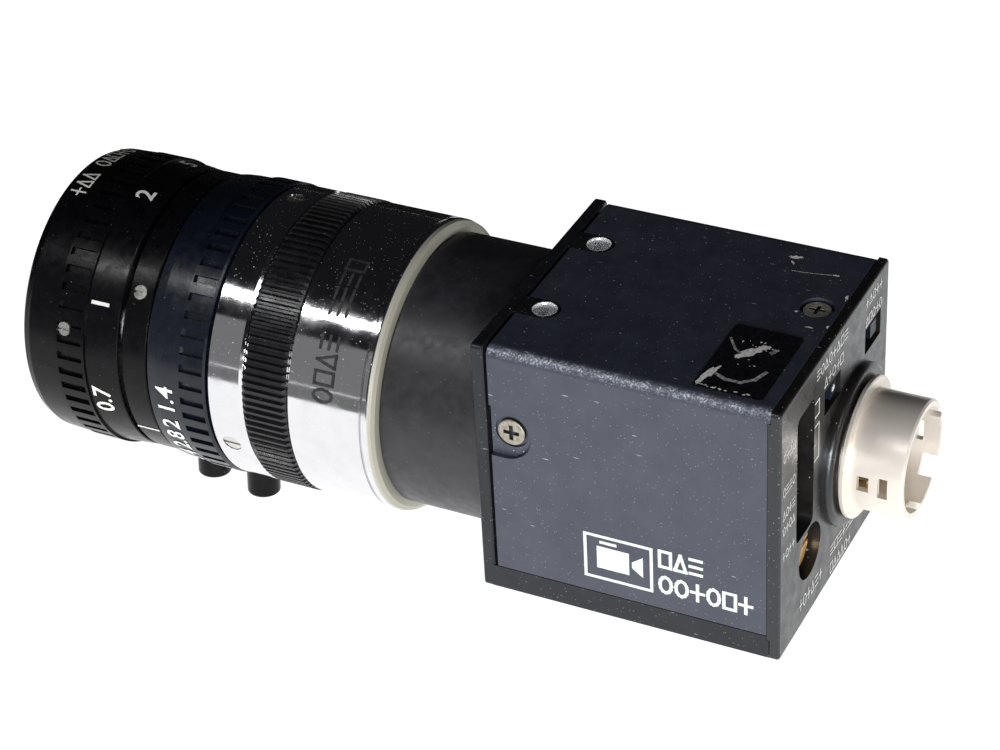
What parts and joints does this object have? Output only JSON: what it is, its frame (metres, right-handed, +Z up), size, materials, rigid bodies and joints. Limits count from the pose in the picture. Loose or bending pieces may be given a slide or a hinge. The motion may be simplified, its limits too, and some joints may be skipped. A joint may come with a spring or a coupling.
{
  "type": "machine vision camera with lens",
  "caption": "Small cube-bodied industrial video camera with a screw-on manual lens: turning focus and iris rings with lock knobs, rear round socket and recessed setting switches.",
  "frame": {"origin": "midpoint between the two tapped holes in the base, on the base face", "axes": "+Z up, optical axis along Y with the lens facing -Y and the connector facing +Y, +X to the camera's left-hand side as it looks forward"},
  "size_m": [0.0318, 0.0935, 0.037],
  "materials": {
    "chassis_paint": "satin",
    "cover_paint": "satin",
    "panel_paint": "satin",
    "black_anodised": "satin",
    "ring_anodised": "satin",
    "bright_chrome": "polished",
    "nickel": "satin",
    "screw_steel": "satin",
    "set_screw_steel": "satin",
    "lens_glass": "polished",
    "filter_glass": "polished",
    "ceramic": "matte",
    "circuit_board": "gloss",
    "chip_plastic": "matte",
    "connector_plastic": "matte",
    "switch_plastic": "matte",
    "key_plastic": "matte",
    "brass": "satin",
    "gold_pin": "polished",
    "seal_rubber": "matte",
    "label_film": "gloss",
    "blade_steel": "satin"
  },
  "bodies": {
    "camera": {"front_chassis": "chassis_paint", "mount_barrel": "black_anodised", "barrel_screws": "screw_steel", "top_cover": "cover_paint", "cover_side_screws": "screw_steel", "cover_rear_screw": "screw_steel", "base_screws": "screw_steel", "rear_panel": "panel_paint", "worn_label": "label_film", "optical_filter": "filter_glass", "sensor_gasket": "seal_rubber", "ccd_package": "ceramic", "ccd_cover_glass": "lens_glass", "sensor_board": "circuit_board", "signal_board": "circuit_board", "power_board": "circuit_board", "io_board": "circuit_board", "board_spacers": "nickel", "board_screws": "screw_steel", "board_connectors": "connector_plastic", "board_chips": "chip_plastic", "dip_switch_body": "switch_plastic", "slide_switch_bodies": "switch_plastic", "gain_trimmer_body": "switch_plastic", "connector_shell": "nickel", "connector_nut": "nickel", "connector_insert": "chip_plastic", "connector_pins": "gold_pin", "lens_rear_barrel": "bright_chrome", "lens_grip_ring": "black_anodised", "lens_mid_barrel": "bright_chrome", "lens_index_band": "black_anodised", "band_set_screws": "set_screw_steel", "index_set_screw": "set_screw_steel", "rear_cell": "black_anodised", "middle_element": "lens_glass", "rear_element": "lens_glass"},
    "focus_ring": {"focus_ring": "black_anodised", "focus_set_screws": "set_screw_steel"},
    "front_cell": {"front_cell": "black_anodised", "front_name_ring": "black_anodised", "front_element": "lens_glass", "front_doublet": "lens_glass"},
    "iris_ring": {"iris_ring": "ring_anodised"},
    "iris_lock": {"iris_lock_knob": "black_anodised"},
    "focus_lock": {"focus_lock_knob": "black_anodised"},
    "gain_rotor": {"gain_rotor": "brass"},
    "termination_slider": {"termination_slider": "switch_plastic"},
    "sync_slider": {"sync_slider": "switch_plastic"},
    "dip_key_1": {"dip_key_1": "key_plastic"},
    "dip_key_2": {"dip_key_2": "key_plastic"},
    "dip_key_3": {"dip_key_3": "key_plastic"},
    "dip_key_4": {"dip_key_4": "key_plastic"},
    "dip_key_5": {"dip_key_5": "key_plastic"},
    "dip_key_6": {"dip_key_6": "key_plastic"},
    "iris_blade_1": {"iris_blade_1": "blade_steel"},
    "iris_blade_2": {"iris_blade_2": "blade_steel"},
    "iris_blade_3": {"iris_blade_3": "blade_steel"},
    "iris_blade_4": {"iris_blade_4": "blade_steel"},
    "iris_blade_5": {"iris_blade_5": "blade_steel"}
  },
  "joints": [
    {"name": "focus_turn", "type": "hinge", "parent": "camera", "child": "focus_ring", "pos_m": [0, -0.05115, 0.0147], "axis": [0, 1, 0], "range_deg": [-42.4, 156.6]},
    {"name": "focus_travel", "type": "slide", "parent": "camera", "child": "front_cell", "axis": [0, 1, 0], "range_m": [-0.00027, 0.00099]},
    {"name": "iris_turn", "type": "hinge", "parent": "camera", "child": "iris_ring", "pos_m": [0, -0.03865, 0.0147], "axis": [0, 1, 0], "range_deg": [-75, 22.2]},
    {"name": "iris_blade_1_swing", "type": "hinge", "parent": "camera", "child": "iris_blade_1", "pos_m": [0.0112, -0.03775, 0.0147], "axis": [0, 1, 0], "range_deg": [-29, 8.6]},
    {"name": "iris_blade_2_swing", "type": "hinge", "parent": "camera", "child": "iris_blade_2", "pos_m": [0.00346, -0.03775, 0.02535], "axis": [0, 1, 0], "range_deg": [-29, 8.6]},
    {"name": "iris_blade_3_swing", "type": "hinge", "parent": "camera", "child": "iris_blade_3", "pos_m": [-0.00906, -0.03775, 0.02128], "axis": [0, 1, 0], "range_deg": [-29, 8.6]},
    {"name": "iris_blade_4_swing", "type": "hinge", "parent": "camera", "child": "iris_blade_4", "pos_m": [-0.00906, -0.03775, 0.00812], "axis": [0, 1, 0], "range_deg": [-29, 8.6]},
    {"name": "iris_blade_5_swing", "type": "hinge", "parent": "camera", "child": "iris_blade_5", "pos_m": [0.00346, -0.03775, 0.00405], "axis": [0, 1, 0], "range_deg": [-29, 8.6]},
    {"name": "iris_lock_turn", "type": "hinge", "parent": "iris_ring", "child": "iris_lock", "pos_m": [0, -0.03805, 0.0147], "axis": [0.1045, 0, -0.9945], "range_deg": [0, 360]},
    {"name": "focus_lock_turn", "type": "hinge", "parent": "camera", "child": "focus_lock", "pos_m": [0, -0.04435, 0.0147], "axis": [0.1045, 0, -0.9945], "range_deg": [0, 360]},
    {"name": "dip_key_1_slide", "type": "slide", "parent": "camera", "child": "dip_key_1", "axis": [1, 0, 0], "range_m": [0, 0.0013]},
    {"name": "dip_key_2_slide", "type": "slide", "parent": "camera", "child": "dip_key_2", "axis": [1, 0, 0], "range_m": [0, 0.0013]},
    {"name": "dip_key_3_slide", "type": "slide", "parent": "camera", "child": "dip_key_3", "axis": [1, 0, 0], "range_m": [0, 0.0013]},
    {"name": "dip_key_4_slide", "type": "slide", "parent": "camera", "child": "dip_key_4", "axis": [1, 0, 0], "range_m": [0, 0.0013]},
    {"name": "dip_key_5_slide", "type": "slide", "parent": "camera", "child": "dip_key_5", "axis": [1, 0, 0], "range_m": [0, 0.0013]},
    {"name": "dip_key_6_slide", "type": "slide", "parent": "camera", "child": "dip_key_6", "axis": [1, 0, 0], "range_m": [0, 0.0013]},
    {"name": "termination_slide", "type": "slide", "parent": "camera", "child": "termination_slider", "axis": [1, 0, 0], "range_m": [0, 0.0013]},
    {"name": "sync_slide", "type": "slide", "parent": "camera", "child": "sync_slider", "axis": [1, 0, 0], "range_m": [0, 0.0013]},
    {"name": "gain_turn", "type": "hinge", "parent": "camera", "child": "gain_rotor", "pos_m": [0.0067, 0.02585, 0.008], "axis": [0, 1, 0], "range_deg": [-135, 135]}
  ],
  "couplings": [
    {"joint": "focus_travel", "follows": "focus_turn", "m_per_rad": 0.00036},
    {"joint": "iris_blade_1_swing", "follows": "iris_turn", "ratio": 0.386},
    {"joint": "iris_blade_2_swing", "follows": "iris_turn", "ratio": 0.386},
    {"joint": "iris_blade_3_swing", "follows": "iris_turn", "ratio": 0.386},
    {"joint": "iris_blade_4_swing", "follows": "iris_turn", "ratio": 0.386},
    {"joint": "iris_blade_5_swing", "follows": "iris_turn", "ratio": 0.386}
  ]
}
